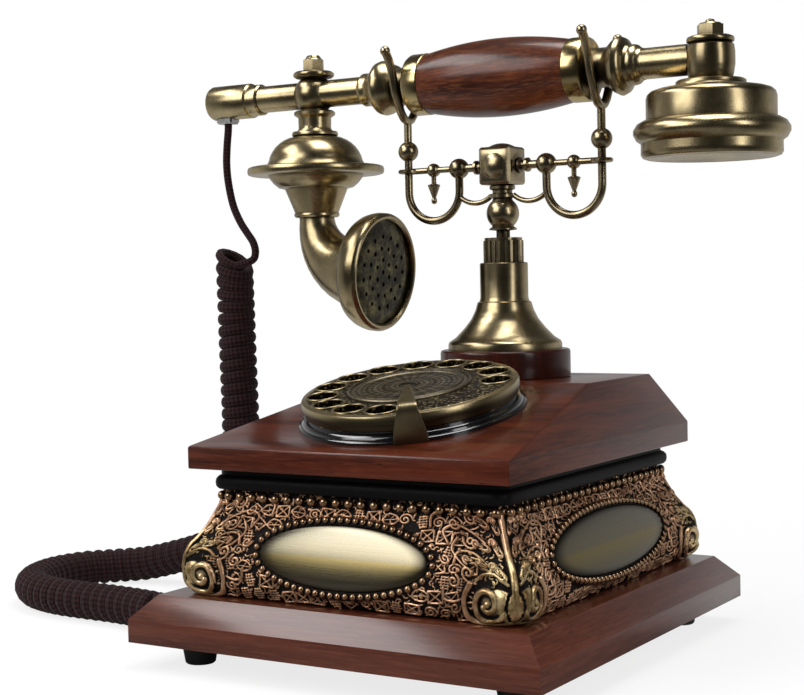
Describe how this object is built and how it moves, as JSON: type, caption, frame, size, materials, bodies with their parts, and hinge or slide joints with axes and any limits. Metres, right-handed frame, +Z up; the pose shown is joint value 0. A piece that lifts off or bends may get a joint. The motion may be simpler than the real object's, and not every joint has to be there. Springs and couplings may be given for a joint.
{
  "type": "rotary telephone",
  "caption": "Ornate cradle telephone with mahogany boards, a carved brass case, a turning dial, a lift-off handset and a curly cord.",
  "frame": {"origin": "on the floor, under the centre of the base board", "axes": "+X to the right of someone facing the dial, +Y from the front to the back, +Z up"},
  "size_m": [0.4072, 0.211, 0.2824],
  "materials": {
    "mahogany": "red mahogany under gloss varnish",
    "carved_brass": "antiqued brass plating on a relief casting",
    "plate_brass": "brushed brass",
    "aged_brass": "antiqued brass, brown in the hollows",
    "bright_brass": "satin brass",
    "black_lacquer": "black gloss",
    "black_rubber": "matt",
    "steel": "plain",
    "gear_brass": "plain",
    "dark_plastic": "matt",
    "circuit_green": "solder mask",
    "clear_plug": "clear",
    "maroon_braid": "braided cover"
  },
  "bodies": {
    "root": {"base_board": "mahogany", "rubber_feet": "black_rubber", "case_screws": "steel", "bottom_cover": "steel", "carved_body": "carved_brass", "neck_moulding": "black_lacquer", "end_plates": "plate_brass", "side_plates": "plate_brass", "top_board": "mahogany", "column_block": "mahogany", "column_bell": "aged_brass", "knurled_collar": "aged_brass", "guide_tube": "steel", "column_nut": "steel", "dial_bezel": "black_lacquer", "number_plate": "black_lacquer", "finger_stop": "bright_brass", "dial_case": "steel", "return_spring": "steel", "hook_switch": "dark_plastic", "lift_spring": "steel", "circuit_board": "circuit_green", "ringer": "dark_plastic", "handset_jack": "dark_plastic", "line_jack": "dark_plastic", "cord_curl_floor": "maroon_braid", "cord_tail": "maroon_braid", "cord_plug": "clear_plug"},
    "dial": {"finger_wheel": "bright_brass", "dial_medallion": "bright_brass", "dial_screw": "steel", "dial_spindle": "steel", "drive_gear": "gear_brass"},
    "pulse_wheel": {"pulse_pinion": "gear_brass"},
    "cradle": {"cradle_stem": "aged_brass", "cradle_head": "aged_brass", "left_arm": "aged_brass", "right_arm": "aged_brass", "drop_finials": "aged_brass", "cord_curl_hanging": "maroon_braid"},
    "handset": {"grip": "mahogany", "ferrules": "bright_brass", "neck_collars": "aged_brass", "arm_tubes": "aged_brass", "end_cap": "aged_brass", "tie_rod": "steel", "mouth_tee": "aged_brass", "arm_nuts": "aged_brass", "mouth_dome": "aged_brass", "mouth_cup": "aged_brass", "mouth_horn": "aged_brass", "mouth_rim": "aged_brass", "mouth_grille": "aged_brass", "microphone": "dark_plastic", "receiver_barrel": "aged_brass", "receiver_cup": "aged_brass", "ear_cap": "aged_brass", "speaker": "dark_plastic", "cord_clip": "steel", "cord_lead": "maroon_braid"}
  },
  "joints": [
    {"name": "dial_spin", "type": "hinge", "parent": "root", "child": "dial", "pos_m": [0, -0.02839, 0.10734], "axis": [0, -0.197, 0.9804], "range_deg": [-330, 0], "stiffness_Nm_per_rad": 0.006, "springref_deg": 34.38},
    {"name": "pulse_spin", "type": "hinge", "parent": "root", "child": "pulse_wheel", "pos_m": [0.024, -0.02839, 0.10734], "axis": [0, -0.197, 0.9804], "range_deg": [0, 990]},
    {"name": "cradle_travel", "type": "slide", "parent": "root", "child": "cradle", "axis": [0, 0, 1], "range_m": [0, 0.005], "stiffness_N_per_m": 150, "springref_m": 0.04, "deforming": ["lift_spring"]},
    {"name": "handset_lift", "type": "slide", "parent": "cradle", "child": "handset", "axis": [0, 0, 1], "range_m": [0, 0.1], "deforming": ["cord_curl_hanging"]}
  ],
  "couplings": [
    {"joint": "pulse_spin", "follows": "dial_spin", "ratio": -3}
  ]
}
